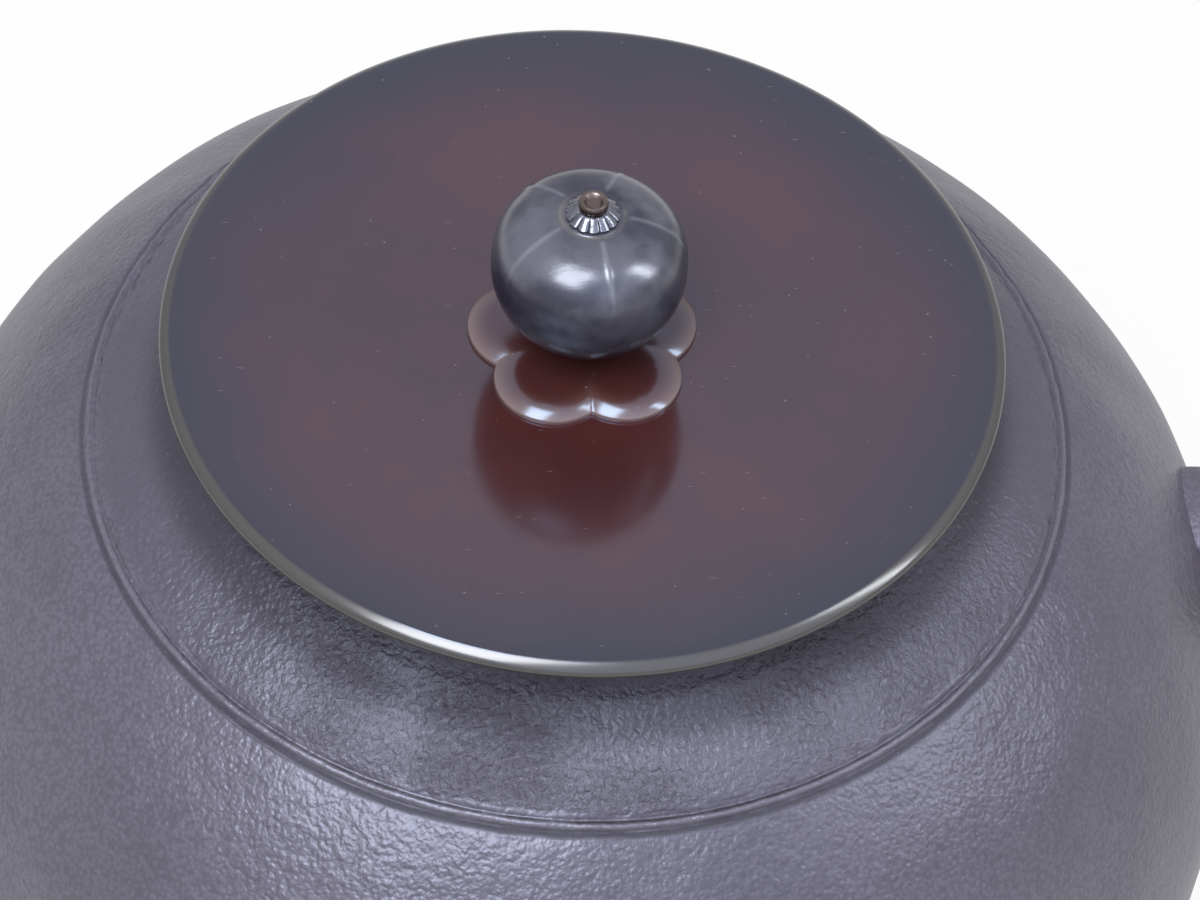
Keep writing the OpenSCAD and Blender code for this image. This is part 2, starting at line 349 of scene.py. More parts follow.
def makeDustMarks():
    # sparse pale specks and short hair scratches
    tree, start, end = newGroup(
        "dustMarks",
        [("Place", "NodeSocketVector", None), ("Size", "NodeSocketFloat", 170)],
        ["Specks", "Scratches"],
    )

    def sparse(turn, stretch, factor, width, empty):
        cells = addNode(tree, "ShaderNodeTexVoronoi", {"Randomness": 1})
        plug(cells.inputs["Vector"], turnNode(start.outputs["Place"], turn, (1, stretch, 1)))
        plug(cells.inputs["Scale"], times(start.outputs["Size"], factor))
        spot = mapRange(cells.outputs["Distance"], width, width * dustLook["core"])
        tint = addNode(tree, "ShaderNodeSeparateColor")
        plug(tint.inputs[0], cells.outputs["Color"])
        return times(spot, mathNode("GREATER_THAN", tint.outputs[0], empty))

    for label in ("Specks", "Scratches"):
        first, second = (sparse(*kind) for kind in dustLook[label])
        plug(end.inputs[label], mathNode("MAXIMUM", first, second))
    return tree


castSkin = makeCastSkin()
dustMarks = makeDustMarks()


# iron finish

ironLook = {
    "dark": (0.066, 0.054, 0.068, 1),
    "light": (0.115, 0.097, 0.12, 1),
    "zone": (0.05, 0.042, 0.052, 1),
    "scale": (0.26, 0.25, 0.26, 1),
    "rust": (0.16, 0.115, 0.07, 1),
    # painted shade and dirt, in the pebbles' gaps, the thread's grooves and under the lid
    "grime": (0.018, 0.016, 0.019, 1),
    # painted highlight, partly wear, on the thread's ridge
    "rubbed": (0.17, 0.155, 0.175, 1),
    "tint": (0.84, 0.825, 0.99, 1),
    "ior": 1.92, "rough": 0.4, "bump": 0.125, "grain": 1250, "plateGrain": 2400,
    "gapShare": 0.4, "speckSize": 300, "speckShare": 0.4,
    "upperHalf": 100, "threadRadius": 77.5,
    # radii between which the zone inside the thread and the shade under the lid begin
    "zoneEdge": (76.7, 74), "zoneShare": 0.7, "zoneRough": 0.39,
    "shadeEdge": (71, 63.5), "shadeShare": 0.6, "shadeShine": (0.5, 0.26),
    "pitNoise": (900, 4, 0.6, 0.3), "pitFront": (-18, -58, 0.12), "pitHeight": 8,
    "pitCloud": (34, 2), "pitRange": (0.36, 0.62, 0.3, 1),
    "fleckCloud": (620, 2), "fleckRange": (0.72, 0.8), "fleckShare": 0.5,
    # the painted highlight and shade on the thread fade towards the back, and some of them to the left as
    # well
    "fadeBack": (50, -50, 0.5), "fadeLeft": (-30, 50, 0.3),
    "threadMarks": (  # distance from the thread, width, share, tone, only at the right
        (0, 0.6, 0.3, "rubbed", False),
        (0.8, 0.65, 0.8, "grime", False),
        (-0.8, 0.5, 0.7, "grime", True),
    ),
    "grooveOut": 0.8, "grooveWidth": 0.9, "grooveRough": 0.8,
    "calmWidth": 2.6, "calmShare": 0.3,
}


def finishShoulder(shader, place, colour, height):
    look = read(ironLook)
    ring = look.threadRadius
    radius, (x, y, z) = radiusOf(place)
    above = mathNode("GREATER_THAN", z, look.upperHalf * mm)
    # inside the thread the skin is painted darker, as shade near the lid, and pitted towards the front
    zone = times(mapLength(radius, *look.zoneEdge), above)
    colour = mixColour(times(zone, look.zoneShare), colour, look.zone)
    patches = cloudNode(place, look.pitCloud, look.pitRange)
    pits = times(noiseNode(place, *look.pitNoise), zone)
    pits = times(pits, times(patches, mapLength(y, *look.pitFront)))
    height = plus(height, times(pits, look.pitHeight))
    flecks = times(cloudNode(place, look.fleckCloud, look.fleckRange), zone)
    colour = mixColour(times(flecks, look.fleckShare), colour, look.rust)
    # painted highlight, partly wear, lightens the thread, and painted shade, partly dirt, darkens the
    # grooves beside it
    clear = times(mapLength(y, *look.fadeBack), above)
    right = times(clear, mapLength(x, *look.fadeLeft))
    for away, wide, share, tone, atRight in look.threadMarks:
        mask = times(ringMask(radius, ring + away, wide), right if atRight else clear)
        colour = mixColour(times(mask, share), colour, ironLook[tone])
    sheen = mapRange(zone, 0, 1, look.rough, look.zoneRough)
    groove = times(ringMask(radius, ring + look.grooveOut, look.grooveWidth), above)
    matt = times(groove, look.grooveRough - look.rough)
    plug(shader.inputs["Roughness"], plus(sheen, matt))
    # painted shade: the skin is drawn dark, with weaker shine, close under the lid
    shade = times(mapLength(radius, *look.shadeEdge), above)
    colour = mixColour(times(shade, look.shadeShare), colour, look.grime)
    shine = mapRange(shade, 0, 1, *look.shadeShine)
    plug(shader.inputs["Specular IOR Level"], shine)
    calm = times(ringMask(radius, ring, look.calmWidth), look.calmShare)
    return colour, times(height, minus(1, calm))


def makeIron(name, grain, hasShoulder=False):
    look = read(ironLook)
    material, shader, place = newMaterial(name, ironLook)
    skin = placeGroup(castSkin, place, Grain=grain)
    height = skin["Height"]
    colour = mixColour(skin["Tone"], look.dark, look.light)
    # painted shade, and some dirt, darkens the gaps between the pebbles
    colour = mixColour(times(skin["Gaps"], look.gapShare), colour, look.grime)
    if hasShoulder:
        colour, height = finishShoulder(shader, place, colour, height)
    specks = placeGroup(dustMarks, place, Size=look.speckSize)["Specks"]
    colour = mixColour(times(specks, look.speckShare), colour, look.scale)
    plug(shader.inputs["Base Color"], colour)
    plug(shader.inputs["Normal"], bumpNode(height, 1, look.bump))
    return material


# bronze finish

bronzeLook = {
    "red": (0.074, 0.02, 0.0185, 1),
    "brown": (0.05, 0.0175, 0.02, 1),
    "edge": (0.025, 0.0135, 0.0185, 1),
    "rim": (0.085, 0.079, 0.071, 1),
    "dust": (0.36, 0.33, 0.33, 1),
    # painted pale reflection on the seat's petal slopes
    "worn": (0.34, 0.23, 0.195, 1),
    "tint": (0.65, 0.8, 1, 1), "rimTint": (0.97, 0.95, 1, 1),
    "ior": 1.82, "rough": 0.12, "rimRough": 0.2, "seatRough": 0.07, "rimMetal": 0.5,
    "cloud": (24, 4, 0.6), "cloudRange": (0.35, 0.68),
    "wanderNoise": (30, 2), "wander": 14, "edgeZone": (41, 66), "rimZone": (63.2, 63.8),
    "haze": (60, 3), "hazeRange": (0.3, 0.75, 0.09, 0.16),
    "markSize": 260, "markShare": 0.3, "markRough": 0.3,
    "dentNoise": (260, 2), "dentShare": 0.04, "dentHeight": 0.1,
}


def makeBronze(name, isLid):
    look = read(bronzeLook)
    material, shader, place = newMaterial(name, bronzeLook)
    cloud = cloudNode(place, look.cloud, look.cloudRange)
    colour = mixColour(cloud, look.brown, look.red)
    if isLid:
        # the colour turns from red-brown to dark towards the rim: a painted darker reflection
        radius, _ = radiusOf(place)
        wander = times(noiseNode(place, *look.wanderNoise), look.wander * mm)
        outer = plus(radius, minus(wander, look.wander / 2 * mm))
        colour = mixColour(mapLength(outer, *look.edgeZone), colour, look.edge)
    else:
        # painted reflection: the petals' slopes are drawn pale
        colour = mixColour(wearNode(place, "slopeSheen"), colour, look.worn)
    dust = placeGroup(dustMarks, place, Size=look.markSize)
    marks = mathNode("MAXIMUM", dust["Specks"], dust["Scratches"])
    colour = mixColour(times(marks, look.markShare), colour, look.dust)
    haze = cloudNode(place, look.haze, look.hazeRange)
    if isLid:
        # handling has worn the rim down to bare metal
        rim = mapLength(radius, *look.rimZone)
        colour = mixColour(rim, colour, look.rim)
        plug(shader.inputs["Specular Tint"], mixColour(rim, look.tint, look.rimTint))
        plug(shader.inputs["Metallic"], times(rim, look.rimMetal))
        haze = plus(haze, times(rim, look.rimRough - look.rough))
    else:
        haze = plus(haze, look.seatRough)
    plug(shader.inputs["Base Color"], colour)
    plug(shader.inputs["Roughness"], plus(haze, times(marks, look.markRough)))
    dents = noiseNode(place, *look.dentNoise)
    plug(shader.inputs["Normal"], bumpNode(dents, look.dentShare, look.dentHeight))
    return material


# knob finish

knobLook = {
    "dark": (0.014, 0.0135, 0.026, 1),
    "light": (0.06, 0.058, 0.074, 1),
    "seam": (0.17, 0.14, 0.1, 1),
    "worn": (0.34, 0.35, 0.38, 1),
    "tint": (0.92, 0.9, 0.99, 1),
    "ior": 1.95, "cloud": (85, 4, 0.55), "cloudRange": (0.36, 0.62),
    "seamRadius": 4.85, "seamEdge": (0.5, 0.1), "seamLow": 170, "seamShare": 0.45,
    # heights over and under the knob's middle
    "middle": 166.4, "polishRise": (4, 9), "bandRise": (-4, 1), "filmRise": (-1, 7),
    "rubRise": (3, 8),
    "polished": 0.24, "dull": 0.37, "under": 0.22, "scratchSize": 420, "scratchRough": 0.15,
    "film": (5, 13, 0.3, 0.46), "filmCloud": 0.26, "filmLow": 0.3, "filmLess": 0.03,
    "rubTurn": 35, "rubScale": (220, 1500, 400), "rubNoise": (1, 3, 0.6),
    "rubShare": 0.25, "rubHeight": 0.1,
}


def makeKnobMetal():
    look = read(knobLook)
    material, shader, place = newMaterial("knobMetal", knobLook)
    radius, (x, y, z) = radiusOf(place)

    def byHeight(rise, toLow=0, toHigh=1):
        low, high = (look.middle + up for up in rise)
        return mapLength(z, low, high, toLow, toHigh)

    cloud = cloudNode(place, look.cloud, look.cloudRange)
    colour = mixColour(cloud, look.dark, look.light)
    offSeam = mathNode("ABSOLUTE", minus(radius, look.seamRadius * mm))
    high = mathNode("GREATER_THAN", z, look.seamLow * mm)
    seam = times(mapLength(offSeam, *look.seamEdge), high)
    share = times(seam, times(cloud, look.seamShare))
    colour = mixColour(share, colour, look.seam)
    colour = mixColour(wearNode(place, "ribWear"), colour, look.worn)
    plug(shader.inputs["Base Color"], colour)
    # handling has polished the top, and a band round the middle is duller
    rough = byHeight(look.polishRise, look.dull, look.polished)
    rough = times(minus(rough, look.under), byHeight(look.bandRise))
    rough = plus(rough, look.under)
    scratches = placeGroup(dustMarks, place, Size=look.scratchSize)["Scratches"]
    rough = plus(rough, times(scratches, look.scratchRough))
    plug(shader.inputs["Roughness"], rough)
    # the shine is patchy, and weaker below the middle
    film = plus(mapLength(radius, *look.film), times(cloud, look.filmCloud))
    film = times(film, byHeight(look.filmRise, look.filmLow))
    plug(shader.inputs["Specular IOR Level"], minus(film, look.filmLess))
    # faint rubbing marks on the upper half
    rubbed = turnNode(place, look.rubTurn, look.rubScale)
    streaks = times(noiseNode(rubbed, *look.rubNoise), byHeight(look.rubRise))
    plug(shader.inputs["Normal"], bumpNode(streaks, look.rubShare, look.rubHeight))
    return material


# finishes of the small pieces

crownLook = {
    "dark": (0.04, 0.038, 0.042, 1),
    "light": (0.2, 0.2, 0.225, 1),
    "cloud": (900, 3), "cloudRange": (0.35, 0.6), "ridgeRange": (0.08, 0.5), "clean": 0.5,
    "metal": 1, "rough": 0.24, "roughRange": (0.5, 0.22),
}
copperLook = {
    "dark": (0.075, 0.05, 0.042, 1),
    "light": (0.11, 0.079, 0.067, 1),
    "worn": (0.16, 0.126, 0.112, 1),
    "cloud": (800, 4, 0.65), "cloudRange": (0.32, 0.68),
    "metal": 1, "rough": 0.32, "roughRange": (0.42, 0.26),
    "dentNoise": (1100, 2), "dentShare": 0.25, "dentHeight": 0.1,
}
lacquerLook = {
    "dark": (0.008, 0.006, 0.005, 1),
    "light": (0.03, 0.018, 0.012, 1),
    "cloud": (400, 4), "cloudRange": (0.3, 0.7),
    "metal": 0, "rough": 0.3, "roughRange": (0.22, 0.5),
}


def makeClouded(name, look):
    # two tones in clouds, with bright ridges, worn edges or dents where the look has them
    material, shader, place = newMaterial(name, look)
    share = cloudNode(place, look["cloud"], look["cloudRange"])
    if "ridgeRange" in look:
        ridge = mapRange(wearNode(place, "ridge"), *look["ridgeRange"])
        share = mathNode("MULTIPLY", ridge, plus(share, look["clean"]), True)
    colour = mixColour(share, look["dark"], look["light"])
    if "worn" in look:
        colour = mixColour(wearNode(place, "edgeWear"), colour, look["worn"])
    plug(shader.inputs["Base Color"], colour)
    plug(shader.inputs["Roughness"], mapRange(share, 0, 1, *look["roughRange"]))
    if "dentNoise" in look:
        dents = noiseNode(place, *look["dentNoise"])
        plug(shader.inputs["Normal"], bumpNode(dents, look["dentShare"], look["dentHeight"]))
    return material


kettleIron = makeIron("kettleIron", ironLook["grain"], True)
lugIron = makeIron("lugIron", ironLook["grain"])
plateIron = makeIron("plateIron", ironLook["plateGrain"])
lidBronze = makeBronze("lidBronze", True)
seatBronze = makeBronze("seatBronze", False)
knobMetal = makeKnobMetal()
crownMetal = makeClouded("crownMetal", crownLook)
rivetCopper = makeClouded("rivetCopper", copperLook)
blackLacquer = makeClouded("blackLacquer", lacquerLook)
print("finishes made")


# kettle body

kettleBody = {
    "radius": 116.5, "bellyHeight": 62, "shoulderRise": 89.89, "shoulderFull": 2.18, "underRise": 68.644,
    "baseRadius": 50, "baseRound": 1.2, "wall": 3.6, "floor": 4.2, "floorRound": 3,
    "threadRadius": 77.5, "threadWidth": 1.7, "threadHeight": 0.34, "threadEdge": 1.2,
    "grooves": ((0.88, 0.28, 0.34), (-0.88, 0.13, 0.28)),  # place, depth, half width
    "stubHeight": 48, "stubHalf": 2, "stubOut": 1.2, "stubGap": 0.4,
    # the stub's root from the body, then its rounded edges from its corners
    "stubRoot": ((-0.4, -0.1), (0.5, 0.1)),
    "stubLow": ((-0.5, 0.05), (-0.1, 0.6), (0, 1.4)),
    "stubHigh": ((0, -1.4), (-0.1, -0.6), (-0.4, -0.05)),
    "mouth": 54.5, "lipRadius": 60, "lipTop": 150.24, "lipEdge": 0.9, "neck": 6,
    "hollowRadius": 4, "hollowX": 62, "hollowFoot": 60.4, "hollowEnd": -236,
    "steps": 320, "underSteps": 56, "innerSteps": 25, "floorSteps": 24, "flatSteps": 8,
    "arcSteps": 16, "edgeSteps": 6,
    # steps down the shoulder, and how near to the thread they are fine
    "firstStep": 0.12, "fineStep": 0.14, "wideStep": 1.1, "stepGrowth": 4, "fineReach": 2.2,
    "uneven": 0.22, "unevenScale": 0.07, "threadUneven": 0.2, "threadScale": 0.4, "threadReach": 1.5,
    "stubUneven": 0.9, "stubScale": 0.35, "drawnIn": 0.1,
}


def shoulderHeight(r):
    k = read(kettleBody)
    return k.bellyHeight + ovalHeight(k.radius, k.shoulderRise, k.shoulderFull, r)


def shoulderSlope(r):
    k = read(kettleBody)
    power = k.shoulderFull - 1
    outward = (r / k.radius) ** power / k.radius
    upward = ((shoulderHeight(r) - k.bellyHeight) / k.shoulderRise) ** power / k.shoulderRise
    return math.atan2(outward, upward)


def shoulderPoint(r):
    # the shoulder with its raised thread and the groove on each side of it
    k = read(kettleBody)
    z, slope = shoulderHeight(r), shoulderSlope(r)
    away = (r - k.threadRadius) / math.cos(slope)
    half = k.threadWidth / 2
    out = 0
    if abs(away) < half:
        out = k.threadHeight * math.cos(away / half * math.pi / 2) ** k.threadEdge
    for place, depth, width in k.grooves:
        out -= depth * math.exp(-((away - place) / width) ** 2)
    return (r + out * math.sin(slope), z + out * math.cos(slope))


def underSection():
    # the base and the lower half, with the stub of the flange
    k = read(kettleBody)
    edge, count = k.baseRound, k.underSteps
    points = line((0, 0), (k.baseRadius - edge, 0), k.flatSteps)
    points.append((k.baseRadius - edge / 4, edge / 8))
    last = math.asin((k.bellyHeight - edge / 2) / k.underRise)
    for i in range(count):
        t = last * (1 - i / count)
        points.append((k.radius * math.cos(t), k.bellyHeight - k.underRise * math.sin(t)))
    low, high = k.stubHeight - k.stubHalf, k.stubHeight + k.stubHalf
    depth = (k.bellyHeight - k.stubHeight) / k.underRise
    flush = k.radius * math.sqrt(1 - depth ** 2)
    outer = flush + k.stubOut
    (lowX, lowZ), (highX, highZ) = k.stubRoot
    stub = [(flush + lowX, low + lowZ)]
    stub += [(outer + x, low + z) for x, z in k.stubLow]
    stub += [(outer + x, high + z) for x, z in k.stubHigh]
    stub.append((flush + highX, high + highZ))
    below = [p for p in points if p[1] < low - k.stubGap]
    above = [p for p in points if p[1] > high + k.stubGap]
    return below + stub + above + [(k.radius, k.bellyHeight)]


def shoulderSection():
    # the shoulder, finer near the thread, then the neck's hollow and the lip
    k = read(kettleBody)
    points = []
    r = k.radius - 0.05
    while r > k.hollowFoot + 0.3:
        points.append(shoulderPoint(r))
        near = abs(r - k.threadRadius) < k.fineReach
        inward = (k.radius - r) / k.radius
        r -= k.fineStep if near else min(k.wideStep, k.firstStep + k.stepGrowth * inward)
    foot, hollow = k.hollowFoot, k.hollowRadius
    slope = shoulderSlope(foot)
    centre = (foot + hollow * math.sin(slope), shoulderHeight(foot) + hollow * math.cos(slope))
    points += arc(centre, hollow, -90 - math.degrees(slope), k.hollowEnd, k.arcSteps)
    edge, top = k.lipEdge, k.lipTop
    points += arc((k.lipRadius - edge, top - edge), edge, 0, 90, k.edgeSteps)
    return points + arc((k.mouth + edge, top - edge), edge, 90, 180, k.edgeSteps)


def insideSection():
    k = read(kettleBody)
    inner, rise = k.radius - k.wall, k.shoulderRise - k.wall
    innerFloor, depth = k.baseRadius - k.wall, k.bellyHeight - k.floor
    under = depth / math.sqrt(1 - (innerFloor / inner) ** 2)
    points = []
    for i in range(k.innerSteps + 1):
        r = k.mouth + (inner - k.mouth) * math.sin(math.pi / 2 * i / k.innerSteps)
        points.append((r, k.bellyHeight + ovalHeight(inner, rise, k.shoulderFull, r)))
    for i in range(1, k.floorSteps + 1):
        t = math.asin(depth / under) * i / k.floorSteps
        points.append((inner * math.cos(t), k.bellyHeight - under * math.sin(t)))
    return points + line((innerFloor - k.floorRound, k.floor), (0, k.floor), k.flatSteps)


def makeKettle():
    k = read(kettleBody)
    section = underSection() + shoulderSection() + insideSection()
    piece = turnSection("kettleShell", section, k.steps)

    def uneven(p):
        # a little hand-made unevenness outside, and the broken edge of the flange stub
        r = math.hypot(p.x, p.y)
        outside = smoothStep(k.hollowX, k.hollowX + k.neck, r) * smoothStep(0.5, 8, p.z)
        upper = p.z > k.bellyHeight
        rise, full = (k.shoulderRise, k.shoulderFull) if upper else (k.underRise, 2)
        skin = ovalHeight(rise, k.radius, full, min(rise, abs(p.z - k.bellyHeight)))
        if outside == 0 or p.z > k.lipTop - k.neck or r < skin - k.wall / 2:
            return p
        drop = (noise.noise(p * k.unevenScale) - 0.5) * k.uneven
        if upper and abs(r - k.threadRadius) < k.threadReach:
            drop += noise.noise(p * k.threadScale) * k.threadUneven
        if abs(p.z - k.stubHeight) < k.stubHalf + 0.2:
            drop -= abs(noise.noise(p * k.stubScale)) * k.stubUneven
        return p * (1 + (drop * outside - k.drawnIn) / max(r, 1))

    reshape(piece, uneven)
    finishPiece(piece, "kettle", "kettle_body", "kettle_iron", kettleIron, 50)
    return piece


kettleShell = makeKettle()
print("kettle body made", len(kettleShell.data.polygons))


# lugs

lugForm = {
    "outline": 20, "height": 88, "foot": 9, "cheek": 9, "full": 2.6, "rootX": 99.6, "outX": 131.8,
    "holeX": 122.8, "holeZ": 90, "holeRadius": 5.5, "holeMouth": 1.6, "mouthDepth": 4, "mouthSteps": 12,
    "domeSteps": 36, "turnSteps": 96, "coreSteps": 24, "coreTurn": 192, "boreTurn": 64,
    "sink": 1.4, "grain": 0.5, "smoothing": 12,
    "uneven": 0.35, "unevenScale": 0.16, "drawnIn": 0.6, "holeClear": 2.5,
}


def makeBore():
    # a cutter through both cheeks that widens to a rounded mouth at each end
    g = read(lugForm)
    start = -g.cheek - 1
    tunnel = [(g.holeX, start, g.holeZ)]
    for i in range(g.mouthSteps + 1):
        share = i / g.mouthSteps
        wide = g.holeMouth * max(0, 1 - share) ** 2
        tunnel.append((g.holeX, start + share * g.mouthDepth, g.holeZ + g.holeRadius + wide))
    tunnel += [(x, -y, z) for x, y, z in reversed(tunnel)]
    centre = (g.holeX, 0, g.holeZ)
    return turnSection("boreCutter", tunnel, g.boreTurn, axis=(0, 1, 0), centre=centre)


def makeLug():
    g, k = read(lugForm), read(kettleBody)
    quarter = ovalQuarter(g.outline, g.outX - g.rootX, g.full, g.domeSteps)
    dome = [(g.rootX, 0, g.height)]
    dome += [(g.rootX + out, 0, g.height + wide) for wide, out in quarter]
    centre = (0, 0, g.height)
    lug = turnSection("rightLugCast", dome, g.turnSteps, axis=(1, 0, 0), centre=centre)
    startEdit()
    for place, facing in (
        ((0, 0, g.height - g.foot), (0, 0, 1)),
        ((0, -g.cheek, 0), (0, 1, 0)),
        ((0, g.cheek, 0), (0, -1, 0)),
    ):
        bpy.ops.mesh.select_all(action="SELECT")
        bpy.ops.mesh.bisect(plane_co=Vector(place) * mm, plane_no=facing, use_fill=True, clear_inner=True)
    endEdit()
    # the kettle's own round outside, a little smaller, trims the root
    sunk = (k.radius - g.sink, k.shoulderRise - g.sink)
    core = [(0, k.bellyHeight)]
    for r, up in ovalQuarter(*sunk, k.shoulderFull, g.coreSteps):
        core.append((r, k.bellyHeight + up))
    trim = turnSection("trimCore", core, g.coreTurn)
    cutters = (trim, makeBore())
    for cutter in cutters:
        applyModifier(lug, "BOOLEAN", operation="DIFFERENCE", object=cutter, solver="EXACT")
    for cutter in cutters:
        bpy.data.objects.remove(cutter)
    applyModifier(lug, "REMESH", mode="VOXEL", voxel_size=g.grain * mm)
    applyModifier(lug, "SMOOTH", factor=0.5, iterations=g.smoothing)

    def uneven(p):
        if math.hypot(p.x - g.holeX, p.z - g.holeZ) < g.holeRadius + g.holeClear:
            return p
        away = Vector((p.x - g.rootX, p.y, p.z - g.height)).normalized()
        return p + away * (noise.noise(p * g.unevenScale) - g.drawnIn) * g.uneven

    reshape(lug, uneven)
    return lug


def mirrorLug(lug):
    pick(lug)
    bpy.ops.object.duplicate()
    twin = nameNew("leftLugCast")
    reshape(twin, lambda p: (-p.x, p.y, p.z))
    pick(twin)
    startEdit()
    bpy.ops.mesh.normals_make_consistent(inside=False)
    endEdit()
    return twin


rightLug = makeLug()
leftLug = mirrorLug(rightLug)
finishPiece(rightLug, "kettle", "right_lug", "kettle_iron", lugIron, 60)
finishPiece(leftLug, "kettle", "left_lug", "kettle_iron", lugIron, 60)
print("lugs made", len(rightLug.data.polygons))


# lid

lidForm = {
    "lipTop": 150.24, "rimTop": 153.64, "rimPeak": 63,
    "rimArcs": ((1, 90, 70), (4, 70, 48), (1, 48, 0), (1.1, 0, -90)),  # radius, first and last angle
    "underRim": ((61.2, 150.8), (60.6, 150.45)), "landRadius": 60.2,
    "scoopRadius": 59.8, "dishLow": 148.14, "ball": 352.205, "thick": 2.6, "underRadius": 50.6,
    "flangeOuter": 53.6, "flangeInner": 51.4, "flangeLow": 144.24, "flangeRound": 0.5, "bore": 1.75,
    "steps": 256, "scoopSteps": 48, "rimSteps": 8, "arcSteps": 10, "underSteps": 24,
}


def dishHeight(r, below=0):
    # the scoop's height, or that of a face some way below it
    d = read(lidForm)
    return d.dishLow + d.ball - math.sqrt((d.ball + below) ** 2 - r * r)


def lidTop():
    # the scoop runs out level on the rim, whose upper edge is rounder than its lower one
    d = read(lidForm)
    end = d.scoopRadius
    points = []
    for i in range(d.scoopSteps + 1):
        r = d.bore + (end - d.bore) * i / d.scoopSteps
        points.append((r, dishHeight(r)))
    slope = end / math.sqrt(d.ball ** 2 - end * end)
    span, rise = d.rimPeak - end, d.rimTop - dishHeight(end)
    for i in range(1, d.rimSteps + 1):
        t = i / d.rimSteps
        curve = t * t * (3 - 2 * t) * rise + (t - 2 * t * t + t ** 3) * slope * span
        points.append((end + span * t, dishHeight(end) + curve))
    for radius, first, last in d.rimArcs:
        t, spot = math.radians(first), points[-1]
        centre = (spot[0] - radius * math.cos(t), spot[1] - radius * math.sin(t))
        points += arc(centre, radius, first, last, d.arcSteps)[1:]
    return points


def lidUnder():
    # the land that lies on the lip, the flange inside the mouth, and the underside
    d = read(lidForm)
    outer, inner, low, edge = d.flangeOuter, d.flangeInner, d.flangeLow, d.flangeRound
    points = list(d.underRim)
    points += line((d.landRadius, d.lipTop), (outer + edge, d.lipTop), 4)
    points += [(outer, d.lipTop - edge), (outer, low + 0.6), (outer - edge, low)]
    points += [(inner + edge, low), (inner, low + 0.6)]
    points.append((inner, dishHeight(d.underRadius, d.thick) - edge))
    for i in range(d.underSteps + 1):
        r = d.underRadius - (d.underRadius - d.bore) * i / d.underSteps
        points.append((r, dishHeight(r, d.thick)))
    return points


def makeLid():
    points = lidTop() + lidUnder()
    piece = turnSection("lidScoop", points + points[:1], lidForm["steps"])
    finishPiece(piece, "lid", "lid_plate", "lid_bronze", lidBronze, 35)
    return piece


lidScoop = makeLid()
print("lid made", len(lidScoop.data.polygons))


# blossom seat

seatForm = {
    "petals": 5, "turn": 20.5, "petalX": 9.3, "petalRadius": 8.9, "top": 150.74,
    "edge": 0.7, "slopeWidth": 5, "slopeEase": 3, "blend": 24, "hub": 4.5, "hubEase": 3.5, "bore": 1.75,
    "rings": 56, "ringEase": 1.25, "steps": 320, "wear": 0.55, "wearZone": (7, 10),
    # the plain disc that is shaped: its radius, and points under its top
    "blank": 18, "blankEdge": ((0, 0.5), (0, 1), (-1, 1.6)), "blankLow": 2.6,
    "bulge": 0.05, "tuck": 0.9,
}


def petalPlaces():
    s = read(seatForm)
    for i in range(s.petals):
        a = math.radians(s.turn + 360 * i / s.petals)
        yield Vector((s.petalX * math.cos(a), s.petalX * math.sin(a), 0))


def blossomReach(angle):
    # how far the outline reaches in that direction
    s = read(seatForm)
    ray = Vector((math.cos(angle), math.sin(angle), 0))
    best = 0
    for centre in petalPlaces():
        along = centre.dot(ray)
        gap = s.petalRadius ** 2 - (centre.length_squared - along * along)
        if gap > 0:
            best = max(best, along + math.sqrt(gap))
    return best


def pillow(x, y):
    # height over the scoop, from 0 at the outline to 1 on a petal's level back
    s = read(seatForm)
    total = 0
    for centre in petalPlaces():
        inside = s.petalRadius - math.hypot(x - centre.x, y - centre.y)
        share = min(1, max(0, inside / s.slopeWidth))
        total += (1 - (1 - share) ** s.slopeEase) ** s.blend
    return min(1, total ** (1 / s.blend))


def makeSeat():
    s = read(seatForm)
    rings, bore, blank, top = s.rings, s.bore, s.blank, s.top
    section = [(bore + (blank - bore) * i / rings, top) for i in range(rings + 1)]
    section += [(blank + out, top - down) for out, down in s.blankEdge]
    section += [(bore, top - s.blankLow), section[0]]
    piece = turnSection("blossomSeat", section, s.steps)
    reach = {}

    def shape(p):
        angle = math.atan2(p.y, p.x)
        key = round(angle, 5)
        if key not in reach:
            reach[key] = blossomReach(angle)
        r, outer = math.hypot(p.x, p.y), reach[key]
        ray = Vector((math.cos(angle), math.sin(angle), 0))
        down = top - p.z
        if down < 0.01:
            share = 1 - max(0, 1 - (r - bore) / (blank - bore)) ** s.ringEase
            spot = ray * (bore + (outer - bore) * share)
            low = dishHeight(spot.length) + s.edge
            middle = 1 - smoothStep(s.hub, s.hub + s.hubEase, spot.length)
            return (spot.x, spot.y, low + (top - low) * max(pillow(spot.x, spot.y), middle))
        if r > blank - 0.5:
            spot = ray * (outer + s.bulge * math.sin(down * math.pi))
            return (spot.x, spot.y, dishHeight(outer) + s.edge * (1 - down * s.tuck))
        if r > blank / 2:
            return (ray.x * outer, ray.y * outer, dishHeight(outer) - s.bulge)
        return (p.x, p.y, dishHeight(r))

    reshape(piece, shape)

    # painted reflection, pale on the petals' slopes and fading onto their level backs
    def worn(p, r):
        return s.wear * (1 - pillow(p.x, p.y)) * smoothStep(*s.wearZone, r)

    markWear(piece, "slopeSheen", worn)
    finishPiece(piece, "lid", "knob_seat", "seat_bronze", seatBronze, 50)
    return piece


blossomSeat = makeSeat()
print("seat made", len(blossomSeat.data.polygons))


# knob with its ribs

